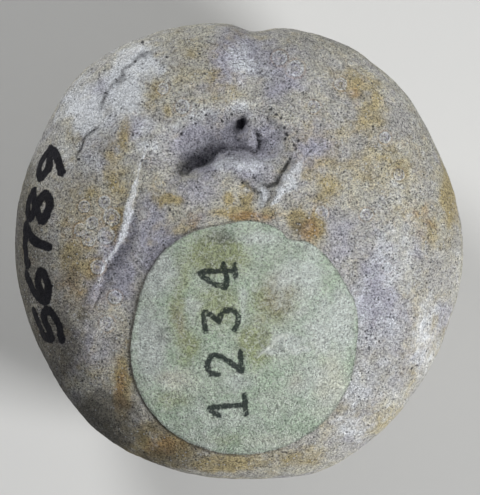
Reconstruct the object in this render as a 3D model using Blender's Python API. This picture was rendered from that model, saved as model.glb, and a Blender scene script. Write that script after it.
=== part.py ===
"""A fossil heart urchin lying on its domed back, with its flat underside up.

The animal's shell, or test, is filled with hard sediment, so it is one solid stone.
A round paper label is glued to the middle of the underside.
+X is the stone's left-to-right width, +Y points to its front, where a notch runs in to the
mouth, and +Z points out of the underside. The origin is under the middle of the stone, on the
surface it rests on.
"""

import math

import bmesh
import bpy
import numpy as np
from mathutils import Vector, noise

MM = 0.001  # every size below is in millimetres, and MM turns it into metres

# Driving dimensions
LENGTH = 19.9
WIDTH = 19.55
HEIGHT = 13.2
GIRTH_HEIGHT = 7.9  # the widest level, above the surface it rests on
LABEL_DIAMETER = 9.9
LABEL_CENTRE = (0.25, -3.75)
LABEL_THICKNESS = 0.14
GLUE_GAP = 0.04

# The outline seen from above: (direction in degrees from +X, radius)
GIRTH = (
    (0, 9.75), (28, 9.76), (50, 10.15), (70, 10.2), (90, 10.12),
    (110, 10.36), (130, 10.52), (150, 10.04), (180, 9.76), (205, 9.7),
    (235, 9.93), (270, 9.94), (292, 10.15), (310, 9.9), (340, 9.64),
)
# How square the profile is, as the exponent of a superellipse: 2 is an ellipse
UNDERSIDE_SQUARENESS = 2.45
BACK_SQUARENESS = 2.3
REAR_SQUARENESS = 0.55  # added at the rear end, which falls nearly upright

# The mouth region in plan, as lines of (x, y, drop or depth there)
MOUTH_RIM = (
    (-4.1, 4.35, 0.0), (-3.6, 4.8, 0.16), (-2.8, 5.3, 0.3), (-1.5, 5.9, 0.38), (0.0, 6.25, 0.38),
    (1.1, 6.15, 0.34), (1.75, 5.3, 0.3), (2.1, 4.45, 0.2), (2.45, 3.8, 0.0),
)
MOUTH_TROUGH = (
    (-3.5, 3.3, 0.0), (-2.8, 3.6, 0.45), (-2.2, 3.8, 1.1), (-1.6, 4.05, 1.45),
    (-0.7, 4.42, 1.4), (0.3, 4.42, 1.1), (0.95, 4.2, 0.5), (1.5, 3.95, 0.0),
)
KNOB_CREASE = ((0.5, 5.3, 0.0), (0.76, 5.0, 0.3), (0.9, 4.6, 0.3), (0.95, 4.35, 0.0))
LIP_EDGE = ((-0.3, 3.1, 0.0), (0.1, 2.98, 0.2), (0.65, 2.72, 0.24), (1.15, 1.9, 0.0))
LIP_RIB = ((2.9, 4.2, 0.0), (2.3, 3.6, 0.2), (1.85, 3.0, 0.22), (1.5, 2.45, 0.16), (1.2, 1.8, 0.0))
LIP_CRACK = (
    (2.3, 4.2, 0.0), (2.15, 3.85, 0.2), (1.9, 3.45, 0.24),
    (1.7, 3.1, 0.2), (1.3, 2.3, 0.2), (1.15, 1.95, 0.0),
)
# The broken edge of plates, from the mouth round the left side towards the rear
BROKEN_EDGE = (
    (-3.85, 4.65, 0.0), (-4.3, 3.75, 0.3), (-4.45, 2.85, 0.4), (-4.7, 2.05, 0.42), (-4.85, 1.35, 0.42),
    (-5.05, 0.6, 0.4), (-5.75, -0.5, 0.34), (-6.1, -1.4, 0.26), (-6.4, -2.3, 0.15), (-6.7, -3.3, 0.0),
)
GUTTER_SHARE = 0.25  # how much deeper the foot of the broken edge is, as a share of its drop
# Swellings and hollows in plan: (height, centre, half widths)
MOUTH_DISH = (-0.22, (-0.6, 3.7), (3.0, 1.9))
THROAT = (-0.7, (0.04, 5.4), (0.24, 0.28))
KNOB = (0.5, (0.44, 4.85), (0.32, 0.42))
LIP_SLAB = (0.12, (0.5, 3.75), (1.3, 0.45))
LIP_NOTCH = (-0.34, (1.38, 2.9), (0.5, 0.26))
BREAST = (0.3, (0.2, -3.6), (3.3, 5.0))
LEFT_HOLLOW = (-0.16, (-5.0, -2.5), (1.5, 4.5))
RIGHT_HOLLOW = (-0.16, (5.0, -2.5), (1.5, 4.5))
# The groove down the front
GROOVE_X = 0.62
GROOVE_HALF_WIDTH = 0.85
GROOVE_DEPTH = 0.3
NOTCH_EXTRA = 0.04  # how much deeper the groove is at the girth

# The petals: rows of tube feet that form a sunken star round the crown of the back
CROWN = (0.0, -0.5)
PETALS = (  # (turn from the front in degrees, length, half width)
    (-60, 6.2, 0.82),
    (60, 6.2, 0.82),
    (-140, 4.3, 0.72),
    (140, 4.3, 0.72),
)
PETAL_START = 0.95
PETAL_DEPTH = 0.34
CROWN_PLATES = (0.1, CROWN, (0.75, 0.75))
KEEL = (0.3, (0.0, -6.0), (1.3, 3.5))
VENT_HEIGHT = 5.0
VENT_RADII = (0.75, 1.0)
VENT_DEPTH = 0.4

WORN_OFF = 0.14  # how much of the crown is worn away, which leaves the flat it rests on
WEATHERING = ((0.09, 0.33), (0.03, 0.9))  # (height, waves per millimetre) of each size of swell
LIMESTONE_COLOUR = (0.42, 0.38, 0.29)
PAPER_COLOUR = (0.42, 0.49, 0.38)
SPHERE_LEVEL = 7
STONE_SHARE = 0.105  # the share of the fine mesh's triangles that the solid keeps
LABEL_RINGS = 7
LABEL_SEGMENTS = 44


def smooth(value, low, high):
    """0 up to low, 1 from high, and an S-shaped rise between them."""
    t = np.clip((value - low) / (high - low), 0, 1)
    return t * t * (3 - 2 * t)


def bell(distance, reach):
    """1 at distance 0, falling off over about reach."""
    return np.exp(-((distance / reach) ** 2))


def mound(plan, height, centre, radii):
    """A bell of this height over an ellipse with these half widths along x and y."""
    off = (plan - np.array(centre)) / np.array(radii)
    return height * bell(np.hypot(off[:, 0], off[:, 1]), 1)


def mounds(plan, *shapes):
    return sum(mound(plan, *shape) for shape in shapes)


def drawn(points, steps=8):
    """A Catmull-Rom curve through a line's points."""
    p = np.array([points[0], *points, points[-1]], float)
    t = np.linspace(0, 1, steps, endpoint=False)[:, None]
    spans = [
        0.5 * (2 * b + (c - a) * t + (2 * a - 5 * b + 4 * c - d) * t**2 + (3 * b - a - 3 * c + d) * t**3)
        for a, b, c, d in zip(p, p[1:], p[2:], p[3:])
    ]
    return np.vstack([*spans, p[-1:]])


def beside(plan, points):
    """Each plan point's distance to a drawn line, positive on its left, and the line's third number."""
    line = drawn(points)
    nearest = np.full(len(plan), np.inf)
    side, value = np.zeros(len(plan)), np.zeros(len(plan))
    for p, d in zip(line, np.diff(line, axis=0)):
        off = plan - p[:2]
        t = np.clip(off @ d[:2] / (d[:2] @ d[:2]), 0, 1)
        gap = np.hypot(*(off - t[:, None] * d[:2]).T)
        closer = gap < nearest
        nearest[closer] = gap[closer]
        side[closer] = np.where(d[0] * off[closer, 1] < d[1] * off[closer, 0], -1, 1)
        value[closer] = p[2] + t[closer] * d[2]
    return nearest * side, value


def ledge(plan, points, edge, reach):
    """A step down from the left to the right of a drawn line, edge wide, which climbs back over reach."""
    side, drop = beside(plan, points)
    return -drop * smooth(-side, -edge / 2, edge / 2) * bell(np.maximum(-side, 0), reach)


def furrow(plan, points, left, right):
    """A valley along a drawn line, with a width of its own on each side and straightish walls."""
    side, depth = beside(plan, points)
    wall = np.clip(np.where(side > 0, side / left, -side / right), 0, 1)
    return -depth * (1 - (0.55 * wall + 0.45 * smooth(wall, 0, 1)))


def mouth(plan):
    """The mouth, crushed inwards: a rim in front, a deep slanting trough, and the lip's slab behind it."""
    rim = ledge(plan, MOUTH_RIM, edge=0.7, reach=2.0)
    trough = furrow(plan, MOUTH_TROUGH, left=1.6, right=0.26)
    crease = furrow(plan, KNOB_CREASE, left=0.14, right=0.14)
    return rim + trough + crease + mounds(plan, MOUTH_DISH, THROAT, KNOB, LIP_SLAB)


def lip(plan):
    """The lip's broken rear edge and notch, and the rib on the right with a crack along its foot."""
    edge = ledge(plan, LIP_EDGE, edge=0.16, reach=0.9)
    rib = -furrow(plan, LIP_RIB, left=0.6, right=0.3)
    crack = furrow(plan, LIP_CRACK, left=0.16, right=0.22)
    return edge + rib + crack + mound(plan, *LIP_NOTCH)


def underside(plan):
    """The relief of the flat side, apart from the front groove."""
    side, drop = beside(plan, BROKEN_EDGE[::-1])
    broken = ledge(plan, BROKEN_EDGE[::-1], edge=0.2, reach=1.9)
    gutter = GUTTER_SHARE * drop * bell(side - 0.14, 0.22)
    return mounds(plan, BREAST, LEFT_HOLLOW, RIGHT_HOLLOW) + mouth(plan) + lip(plan) + broken + gutter


def petal(plan, turn, length, half_width):
    """A leaf-shaped hollow that starts near the crown and narrows to its tip."""
    a = math.radians(turn)
    off = plan - np.array(CROWN)
    along = off @ np.array((math.sin(a), math.cos(a)))
    across = off @ np.array((math.cos(a), -math.sin(a)))
    t = np.clip((along - PETAL_START) / (length - PETAL_START), 0, 1)
    leaf = half_width * np.sin(math.pi * np.clip(t * 0.86 + 0.1, 0, 1)) ** 0.6
    begun = smooth(along, PETAL_START - 0.3, PETAL_START + 0.5)
    ended = smooth(along, length - 0.5, length + 0.2)
    walls = smooth(np.abs(across), 0.45 * leaf, 1.15 * leaf)
    return -PETAL_DEPTH * begun * (1 - ended) * (1 - walls)


def back(plan):
    """The relief of the domed side: the star of petals, the crown plates and the keel behind them."""
    return sum(petal(plan, *shape) for shape in PETALS) + mounds(plan, CROWN_PLATES, KEEL)


def front_groove(points, up):
    """The groove that runs from the crown down the front, makes the notch and comes in towards the mouth."""
    across = bell(points[:, 0] - GROOVE_X * smooth(points[:, 1], 0, 4), GROOVE_HALF_WIDTH)
    on_underside = smooth(up, -0.2, 0.3)
    depth = on_underside * GROOVE_DEPTH * smooth(points[:, 1], 5.8, 8.3)
    depth += (1 - on_underside) * PETAL_DEPTH * smooth(points[:, 1], 0.6, 2.6)
    notch = NOTCH_EXTRA * bell(up, 0.35) * smooth(points[:, 1], 5, 8)
    return -across * (depth + notch)


def vent(points):
    """The animal's rear opening, a shallow oval high on the back end, choked with sediment."""
    oval = np.hypot(points[:, 0] / VENT_RADII[0], (points[:, 2] - VENT_HEIGHT) / VENT_RADII[1])
    return -VENT_DEPTH * (1 - smooth(oval, 0.6, 1.15)) * (points[:, 1] < -6)


def girth_radius(angle):
    """The outline's radius in each direction, as a smooth closed curve through GIRTH."""
    directions, radii = zip(*GIRTH)
    turns = np.radians([directions[-1] - 360, *directions, 360, directions[1] + 360])
    sizes = np.array([radii[-1], *radii, radii[0], radii[1]])
    rounded = drawn(np.column_stack([turns, sizes]), steps=12)
    return np.interp(np.mod(angle, 2 * math.pi), rounded[:, 0], rounded[:, 1])


def plain_form(sphere):
    """The stone without its relief: points of a unit sphere moved out to the girth and to both faces."""
    level = np.hypot(sphere[:, 0], sphere[:, 1])
    angle = np.arctan2(sphere[:, 1], sphere[:, 0])
    up = sphere[:, 2] > 0
    squareness = np.where(up, UNDERSIDE_SQUARENESS, BACK_SQUARENESS)
    squareness = squareness + REAR_SQUARENESS * np.maximum(-np.sin(angle), 0) ** 2 * level
    out = girth_radius(angle) * level ** (2 / squareness)
    reach = np.where(up, HEIGHT - GIRTH_HEIGHT, GIRTH_HEIGHT + WORN_OFF)
    rise = np.sign(sphere[:, 2]) * reach * np.abs(sphere[:, 2]) ** (2 / squareness)
    return np.column_stack([out * np.cos(angle), out * np.sin(angle), GIRTH_HEIGHT + rise])


def weathering(points):
    """Low, wide undulations of a worn stone."""
    return sum(
        height * np.array([noise.noise(Vector(p) * waves) for p in points]) for height, waves in WEATHERING
    )


def with_relief(plain, normals):
    """The plain form moved by the relief: straight up or down underneath, along the normal elsewhere."""
    plan, up = plain[:, :2], normals[:, 2]
    out = smooth(-up, 0.1, 0.4) * back(plan) + front_groove(plain, up) + vent(plain)
    points = plain + normals * (out + weathering(plain))[:, None]
    points[:, 2] += smooth(up, 0.1, 0.4) * underside(plan)
    return points


def material(name, colour, roughness):
    made = bpy.data.materials.new(name)
    made.use_nodes = True
    shader = made.node_tree.nodes["Principled BSDF"]
    shader.inputs["Base Color"].default_value = (*colour, 1)
    shader.inputs["Roughness"].default_value = roughness
    return made


def add_object(name, bm, surface):
    """Puts a bmesh into the scene as an object with a material, and frees it."""
    mesh = bpy.data.meshes.new(name)
    bm.to_mesh(mesh)
    bm.free()
    made = bpy.data.objects.new(name, mesh)
    made.data.materials.append(surface)
    bpy.context.scene.collection.objects.link(made)
    return made


def vertex_values(bm, field):
    return np.array([getattr(v, field) for v in bm.verts])


def place(bm, points_mm):
    for vertex, point in zip(bm.verts, points_mm * MM):
        vertex.co = point


def fitted(points):
    """The points stretched a little to the driving size, with the part to be worn off below the origin."""
    low, high = points.min(axis=0), points.max(axis=0)
    size = np.array([WIDTH, LENGTH, HEIGHT + WORN_OFF])
    return (points - (low + high) / 2) * size / (high - low) + np.array([0, 0, HEIGHT - WORN_OFF]) / 2


def make_stone():
    bm = bmesh.new()
    bmesh.ops.create_icosphere(bm, subdivisions=SPHERE_LEVEL, radius=1)
    plain = plain_form(vertex_values(bm, "co"))
    place(bm, plain)
    bm.normal_update()
    place(bm, fitted(with_relief(plain, vertex_values(bm, "normal"))))
    stone = add_object("fossil_test", bm, material("limestone", LIMESTONE_COLOUR, 0.85))
    coarser = stone.modifiers.new("fewer_faces", "DECIMATE")
    coarser.ratio = STONE_SHARE
    worn = stone.modifiers.new("worn_flat", "BOOLEAN")
    worn.operation = "DIFFERENCE"
    worn.object = make_wear_cutter()
    stone.data.shade_smooth()
    return stone


def make_wear_cutter():
    """A block whose top is the surface that the stone rests on, which takes off the lowest of the crown."""
    bm = bmesh.new()
    bmesh.ops.create_cube(bm, size=1)
    depth = 2.0
    for vertex in bm.verts:
        vertex.co = Vector((vertex.co.x * WIDTH, vertex.co.y * LENGTH, (vertex.co.z - 0.5) * depth)) * MM
    cutter = add_object("wear_cutter", bm, material("cutter", (0.5, 0.5, 0.5), 1))
    cutter.hide_render = True
    cutter.display_type = "WIRE"
    return cutter


def make_label(stone):
    """A paper disc pressed onto the stone: it takes the stone's shape, and keeps its own thickness."""
    bm = bmesh.new()
    radii = np.linspace(0, LABEL_DIAMETER / 2, LABEL_RINGS + 1)
    spoke = [bm.verts.new((radius * MM, 0, 0)) for radius in radii]
    edges = [bm.edges.new(pair) for pair in zip(spoke, spoke[1:])]
    bmesh.ops.spin(
        bm, geom=spoke + edges, cent=(0, 0, 0), axis=(0, 0, 1),
        angle=2 * math.pi, steps=LABEL_SEGMENTS, use_merge=True,
    )
    bmesh.ops.remove_doubles(bm, verts=bm.verts, dist=0.001 * MM)
    for vertex in bm.verts:
        turn = math.atan2(vertex.co.y, vertex.co.x)
        vertex.co.xy *= 1 + 0.008 * math.cos(2 * turn + 2.6) + 0.006 * math.cos(3 * turn)
        vertex.co.y *= 1.02
        vertex.co += Vector((*LABEL_CENTRE, HEIGHT + 2)) * MM
    bmesh.ops.recalc_face_normals(bm, faces=bm.faces)
    label = add_object("paper_label", bm, material("green_paper", PAPER_COLOUR, 0.9))
    drape = label.modifiers.new("drape", "SHRINKWRAP")
    drape.target = stone
    drape.wrap_method = "PROJECT"
    drape.use_project_z = True
    drape.use_negative_direction = True
    drape.use_positive_direction = False
    drape.wrap_mode = "ABOVE_SURFACE"
    drape.offset = GLUE_GAP * MM
    paper = label.modifiers.new("thickness", "SOLIDIFY")
    paper.thickness = LABEL_THICKNESS * MM
    paper.offset = 1
    return label


def main():
    for old in list(bpy.data.objects):
        bpy.data.objects.remove(old)
    make_label(make_stone())


main()
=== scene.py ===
# %% [markdown]
# # A fossil heart urchin with a paper label
# A heart urchin is a sea urchin that lives buried in mud. This one died long ago, its shell filled with
# lime mud, and both became stone. It lies on its domed back, so the flat underside with the mouth faces
# up. Somebody glued a round green label to it. We load the solids that the part was built from, and dress
# them with a fine surface.

# %% Load the frame
import math

import bpy
import numpy as np
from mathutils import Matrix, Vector, noise


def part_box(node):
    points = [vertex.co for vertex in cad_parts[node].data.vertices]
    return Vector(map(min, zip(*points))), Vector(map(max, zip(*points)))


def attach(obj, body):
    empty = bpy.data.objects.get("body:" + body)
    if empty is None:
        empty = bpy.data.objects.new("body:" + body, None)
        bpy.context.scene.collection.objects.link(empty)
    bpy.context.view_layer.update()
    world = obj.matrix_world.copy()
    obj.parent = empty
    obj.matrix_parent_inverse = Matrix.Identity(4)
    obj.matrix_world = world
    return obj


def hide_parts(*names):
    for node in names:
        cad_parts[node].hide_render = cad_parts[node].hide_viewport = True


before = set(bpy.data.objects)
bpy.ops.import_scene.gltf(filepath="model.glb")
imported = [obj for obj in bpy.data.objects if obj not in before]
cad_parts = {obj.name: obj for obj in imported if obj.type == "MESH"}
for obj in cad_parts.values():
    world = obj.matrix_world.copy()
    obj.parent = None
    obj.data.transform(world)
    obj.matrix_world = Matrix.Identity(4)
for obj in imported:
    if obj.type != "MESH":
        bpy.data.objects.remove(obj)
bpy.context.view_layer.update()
MM = 0.001  # lengths below are in millimetres, and MM turns them into Blender's metres
low, high = (np.array(corner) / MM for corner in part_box("fossil_test"))
print("the stone is", (high - low).round(2), "mm")

# %% [markdown]
# ## Camera, floor and light
# The camera hangs far above the stone with a long lens, so that the sides don't splay, and the notched
# front is at the top of the picture. Two soft lamps stand low on opposite sides. Light that skims the stone
# shows its grain and its broken edges. A lamp overhead would flatten them.

# %% Camera, floor and lamps
WIDEST_LEVEL = 7.9  # height of the widest part of the stone, which fills the picture
PICTURE_HEIGHT = 495  # in pixels
PIXELS_PER_MM = 22.94  # at the widest level
VIEW_HEIGHT = PICTURE_HEIGHT / PIXELS_PER_MM
VIEW_MIDDLE = (0.03, 0.14)
CAMERA_DISTANCE = 420
FLOOR_SIZE = 1.2  # in metres
FLOOR_GREY = (0.62, 0.62, 0.61, 1)
LAMPS_ROUND = Vector((0, 0, 8))  # the middle of the lamps' circle

camera = bpy.data.objects.new("camera", bpy.data.cameras.new("camera"))
bpy.context.scene.collection.objects.link(camera)
bpy.context.scene.camera = camera
camera.location = Vector((*VIEW_MIDDLE, WIDEST_LEVEL + CAMERA_DISTANCE)) * MM
camera.data.sensor_fit = "VERTICAL"
camera.data.lens = camera.data.sensor_height * CAMERA_DISTANCE / VIEW_HEIGHT
camera.data.clip_start, camera.data.clip_end = 0.01, 10

bpy.ops.mesh.primitive_plane_add(size=FLOOR_SIZE)
floor = bpy.context.object
floor.name = "floor"
floor_paint = bpy.data.materials.new("pale_floor")
floor_paint.use_nodes = True
floor_shader = floor_paint.node_tree.nodes["Principled BSDF"]
floor_shader.inputs["Base Color"].default_value = FLOOR_GREY
floor_shader.inputs["Roughness"].default_value = 0.9
floor.data.materials.append(floor_paint)


def lamp(name, direction, watts, size, distance=160):
    """A square soft lamp that shines at the stone from a direction."""
    made = bpy.data.objects.new(name, bpy.data.lights.new(name, "AREA"))
    bpy.context.scene.collection.objects.link(made)
    made.data.energy, made.data.size = watts, size * MM
    towards = Vector(direction).normalized()
    made.location = towards * distance * MM + LAMPS_ROUND * MM
    made.rotation_euler = towards.to_track_quat("Z", "Y").to_euler()


lamp("right_lamp", (0.78, -0.42, 0.5), 0.3, 50)
lamp("left_lamp", (-0.48, 0.74, 0.52), 0.2, 50)
world = bpy.data.worlds.new("room")
bpy.context.scene.world = world
world.use_nodes = True
world.node_tree.nodes["Background"].inputs["Color"].default_value = (0.93, 0.96, 1, 1)
world.node_tree.nodes["Background"].inputs["Strength"].default_value = 0.05
bpy.context.scene.view_settings.view_transform = "Standard"
print("lens", round(camera.data.lens), "mm")

# %% [markdown]
# ## The stone's shape
# A worn stone has no edges to model from, so it starts as a ball. A cube with many cuts, cast to a ball,
# has even squares all over, while a UV sphere would crowd its poles. The squares are cut again at the
# mouth, the broken edge, the pits and the writing. Only then does a formula push each point to its place,
# so that small forms fall on small squares.

# %% Drawing curves and measuring from them


def smooth(value, low, high):
    """0 up to low, 1 from high, and an S-shaped rise between them."""
    t = np.clip((value - low) / (high - low), 0, 1)
    return t * t * (3 - 2 * t)


def bell(distance, reach):
    """1 at distance 0, falling off over about reach."""
    return np.exp(-((distance / reach) ** 2))


def mound(plan, height, centre, radii):
    """A bell of this height over an ellipse with these half widths along x and y."""
    off = (plan - np.array(centre)) / np.array(radii)
    return height * bell(np.hypot(off[:, 0], off[:, 1]), 1)


def mounds(plan, *shapes):
    return sum(mound(plan, *shape) for shape in shapes)


def drawn(points, steps=8):
    """A Catmull-Rom curve through a line's points."""
    p = np.array([points[0], *points, points[-1]], float)
    t = np.linspace(0, 1, steps, endpoint=False)[:, None]
    spans = [
        0.5 * (2 * b + (c - a) * t + (2 * a - 5 * b + 4 * c - d) * t**2 + (3 * b - a - 3 * c + d) * t**3)
        for a, b, c, d in zip(p, p[1:], p[2:], p[3:])
    ]
    return np.vstack([*spans, p[-1:]])


def beside(plan, points, steps=8):
    """Each point's distance to a drawn line, positive on its left, and the line's third number."""
    line = drawn(points, steps)
    nearest = np.full(len(plan), np.inf)
    side, value = np.zeros(len(plan)), np.zeros(len(plan))
    for p, d in zip(line, np.diff(line, axis=0)):
        off = plan - p[:2]
        t = np.clip(off @ d[:2] / (d[:2] @ d[:2]), 0, 1)
        gap = np.hypot(*(off - t[:, None] * d[:2]).T)
        closer = gap < nearest
        nearest[closer] = gap[closer]
        side[closer] = np.where(d[0] * off[closer, 1] < d[1] * off[closer, 0], -1, 1)
        value[closer] = p[2] + t[closer] * d[2]
    return nearest * side, value


def ledge(plan, points, edge, reach):
    """A step down from the left to the right of a drawn line, edge wide, which climbs back over reach."""
    side, drop = beside(plan, points)
    return -drop * smooth(-side, -edge / 2, edge / 2) * bell(np.maximum(-side, 0), reach)


def furrow(plan, points, left, right, bulge=1.0):
    """A valley along a drawn line, with a width of its own on each side and straightish or bulging walls."""
    side, depth = beside(plan, points)
    wall = np.clip(np.where(side > 0, side / left, -side / right), 0, 1) ** bulge
    return -depth * (1 - (0.55 * wall + 0.45 * smooth(wall, 0, 1)))


def rough(points, size, seed=0.0):
    """Smooth noise from -1 to 1 with bumps of about this size."""
    return np.array([noise.noise(Vector(p) / size + Vector((seed, 0, 0))) for p in points]) * 1.6


# %% The plain form
GIRTH = (  # (direction in degrees, radius)
    (0, 9.75), (28, 9.76), (50, 10.15), (70, 10.2), (90, 10.12),
    (110, 10.36), (130, 10.52), (150, 10.04), (180, 9.76), (205, 9.7),
    (235, 9.93), (270, 9.94), (292, 10.15), (310, 9.9), (340, 9.64),
)
UNDERSIDE_SQUARENESS = 2.45
BACK_SQUARENESS = 2.3
REAR_SQUARENESS = 0.55
WORN_OFF = 0.14


def radius_around(table, angle, again, steps):
    """The radius in each direction, on a smooth curve through the table's rows and its first few again."""
    begun = [(direction + 360, radius) for direction, radius in table[:again]]
    rows = np.array([(table[-1][0] - 360, table[-1][1]), *table, *begun], float)
    rows[:, 0] = np.radians(rows[:, 0])
    rounded = drawn(rows, steps)
    return np.interp(np.mod(angle, 2 * math.pi), rounded[:, 0], rounded[:, 1])


def plain_form(ball):
    """The stone without its relief: points of a unit ball moved out to the girth and to both faces."""
    level = np.hypot(ball[:, 0], ball[:, 1])
    angle = np.arctan2(ball[:, 1], ball[:, 0])
    up = ball[:, 2] > 0
    squareness = np.where(up, UNDERSIDE_SQUARENESS, BACK_SQUARENESS)
    squareness = squareness + REAR_SQUARENESS * np.maximum(-np.sin(angle), 0) ** 2 * level
    out = radius_around(GIRTH, angle, again=2, steps=12) * level ** (2 / squareness)
    reach = np.where(up, high[2] - WIDEST_LEVEL, WIDEST_LEVEL + WORN_OFF)
    rise = np.sign(ball[:, 2]) * reach * np.abs(ball[:, 2]) ** (2 / squareness)
    return np.column_stack([out * np.cos(angle), out * np.sin(angle), WIDEST_LEVEL + rise])


# %% [markdown]
# Now the ball itself. Faces are chosen by their place on the finished stone, and `cut_where` cuts each of
# them in four. The new corners lie on the old flat faces, so they are cast back to the ball.

# %% The ball, with smaller squares where the stone has small forms
CUTS = 69
MOUTH_RIM = (
    (-4.1, 4.35, 0), (-3.6, 4.8, 0.16), (-2.8, 5.3, 0.3), (-1.5, 5.9, 0.38), (0, 6.25, 0.38),
    (1.1, 6.15, 0.34), (1.75, 5.3, 0.3), (2.1, 4.45, 0.2), (2.45, 3.8, 0),
)
BROKEN_EDGE = (
    (-3.85, 4.65, 0), (-4.3, 3.75, 0.3), (-4.45, 2.85, 0.4), (-4.7, 2.05, 0.42), (-4.85, 1.35, 0.42),
    (-5.05, 0.6, 0.4), (-5.75, -0.5, 0.34), (-6.1, -1.4, 0.26), (-6.4, -2.3, 0.15), (-6.7, -3.3, 0),
)
PIT_ROW = ((-3.8, 8.6), (-4.35, 8.4), (-4.85, 7.9), (-5.05, 7.45), (-5.55, 7.15), (-5.8, 6.65), (-5.95, 6.35))
LABEL_CENTRE = (0.25, -3.75)
LABEL_RADIUS = 4.95
LABEL_HIDES = LABEL_RADIUS - 0.3  # no small squares are needed nearer its centre than this
MOUTH_PATCH = ((-0.8, 4.1), (3.7, 2.6))  # middle and half widths
WRITING_RIGHT, WRITING_BOTTOM = -7.4, 8.6  # the writing lies left of the one and above the other
WRITING_MIDDLE, WRITING_HALF = 0.5, 4.9  # along y


def apply_modifiers(piece):
    bpy.context.view_layer.objects.active = piece
    for modifier in list(piece.modifiers):
        bpy.ops.object.modifier_apply(modifier=modifier.name)


def cast_to_ball(piece):
    """Moves every point to one unit from the middle."""
    cast = piece.modifiers.new("cast", "CAST")
    cast.factor, cast.size, cast.use_radius_as_size = 1, 1, False
    apply_modifiers(piece)


def rows_of(items, what):
    """Three numbers for each item of a mesh, as rows."""
    found = np.empty(len(items) * 3)
    items.foreach_get(what, found)
    return found.reshape(-1, 3)


def points_of(piece):
    return rows_of(piece.data.vertices, "co")


def put_points(piece, points):
    piece.data.vertices.foreach_set("co", points.ravel())
    piece.data.update()


def cut_where(piece, chosen, cuts=1):
    """Cuts the chosen faces both ways, and puts the new corners on the ball."""
    bpy.ops.object.mode_set(mode="EDIT")
    bpy.ops.mesh.select_mode(type="FACE")
    bpy.ops.mesh.select_all(action="DESELECT")
    bpy.ops.object.mode_set(mode="OBJECT")
    piece.data.polygons.foreach_set("select", chosen)
    bpy.ops.object.mode_set(mode="EDIT")
    bpy.ops.mesh.subdivide(number_cuts=cuts)
    bpy.ops.object.mode_set(mode="OBJECT")
    cast_to_ball(piece)


def near(plan, points, reach):
    """Which plan points lie within reach of a line."""
    return np.abs(beside(plan, [(x, y, 0) for x, y, *_ in points])[0]) < reach


bpy.ops.object.select_all(action="DESELECT")
bpy.ops.mesh.primitive_cube_add(size=2)
stone = bpy.context.object
stone.name = "stone"
cut_where(stone, np.ones(6, bool), CUTS)

for turn in range(2):
    middles = rows_of(stone.data.polygons, "center")
    middles = plain_form(middles / np.linalg.norm(middles, axis=1)[:, None])
    plan, above = middles[:, :2], middles[:, 2] > WIDEST_LEVEL
    under_label = np.hypot(*(plan - LABEL_CENTRE).T) < LABEL_HIDES
    mouth_patch = np.all(np.abs(plan - MOUTH_PATCH[0]) < MOUTH_PATCH[1], axis=1) & ~under_label
    writing_patch = (plan[:, 0] < WRITING_RIGHT) & (middles[:, 2] > WRITING_BOTTOM)
    writing_patch &= np.abs(plan[:, 1] - WRITING_MIDDLE) < WRITING_HALF
    small = mouth_patch | near(plan, BROKEN_EDGE, 0.5) | near(plan, PIT_ROW, 0.45) | writing_patch
    cut_where(stone, above & (small | ((turn == 0) & ~under_label)))
print("the ball has", len(stone.data.polygons), "faces")

# %% [markdown]
# ## The relief
# Each form of the animal is a short rule: how far it moves the surface out or in at a place seen from
# above. Rules add up, so a form can be changed without touching the others. A sculpted mesh would look as
# good, but nobody could change one size in it.

# %% The mouth and the broken plates
MOUTH_TROUGH = (
    (-3.4, 3.1, 0), (-2.75, 3.4, 0.4), (-2.2, 3.6, 1), (-1.6, 3.8, 1.2),
    (-0.75, 4.25, 0.95), (0.3, 4.4, 0.75), (0.95, 4.2, 0.4), (1.5, 3.95, 0),
)
KNOB_CREASE = ((0.5, 5.3, 0), (0.76, 5, 0.3), (0.9, 4.6, 0.3), (0.95, 4.35, 0))
LIP_EDGE = ((-0.3, 3.1, 0), (0.1, 2.98, 0.2), (0.65, 2.72, 0.24), (1.15, 1.9, 0))
LIP_RIB = ((2.9, 4.2, 0), (2.3, 3.6, 0.2), (1.85, 3, 0.22), (1.5, 2.45, 0.16), (1.2, 1.8, 0))
LIP_CRACK = (
    (2.3, 4.2, 0), (2.15, 3.85, 0.18), (1.9, 3.45, 0.2),
    (1.65, 3.1, 0.14), (1.3, 2.3, 0.18), (1.15, 1.95, 0),
)
HAIR_CRACK = (
    (-6, 5.45, 0), (-6.16, 5.26, 0.1), (-6.6, 4.87, 0.12), (-6.86, 4.39, 0.12), (-6.94, 3.9, 0),
)
GUTTER_SHARE = 0.25  # how deep a gutter runs along the foot of the broken edge, as a share of its drop
GUTTER_SIDE = 0.14  # how far from the edge
GUTTER_REACH = 0.22
# Swellings and hollows in plan: (height, centre, half widths)
MOUTH_DISH = (-0.22, (-0.6, 3.7), (3, 1.9))
THROAT = (-0.7, (0.12, 5.62), (0.24, 0.28))
KNOB = (0.5, (0.44, 4.85), (0.32, 0.42))
LIP_SLAB = (0.12, (0.5, 3.75), (1.3, 0.45))
LIP_NOTCH = (-0.24, (1.2, 2.92), (0.5, 0.24))
BREAST = (0.3, (0.2, -3.6), (3.3, 5))
LEFT_HOLLOW = (-0.16, (-5, -2.5), (1.5, 4.5))
RIGHT_HOLLOW = (-0.16, (5, -2.5), (1.5, 4.5))


def mouth(plan):
    """The mouth, crushed inwards: a rim in front, a deep slanting trough, and the lip's slab behind it."""
    rim = ledge(plan, MOUTH_RIM, edge=0.7, reach=2.0)
    trough = furrow(plan, MOUTH_TROUGH, left=1.7, right=0.42, bulge=0.8)
    crease = furrow(plan, KNOB_CREASE, left=0.14, right=0.14)
    return rim + trough + crease + mounds(plan, MOUTH_DISH, THROAT, KNOB, LIP_SLAB)


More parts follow.
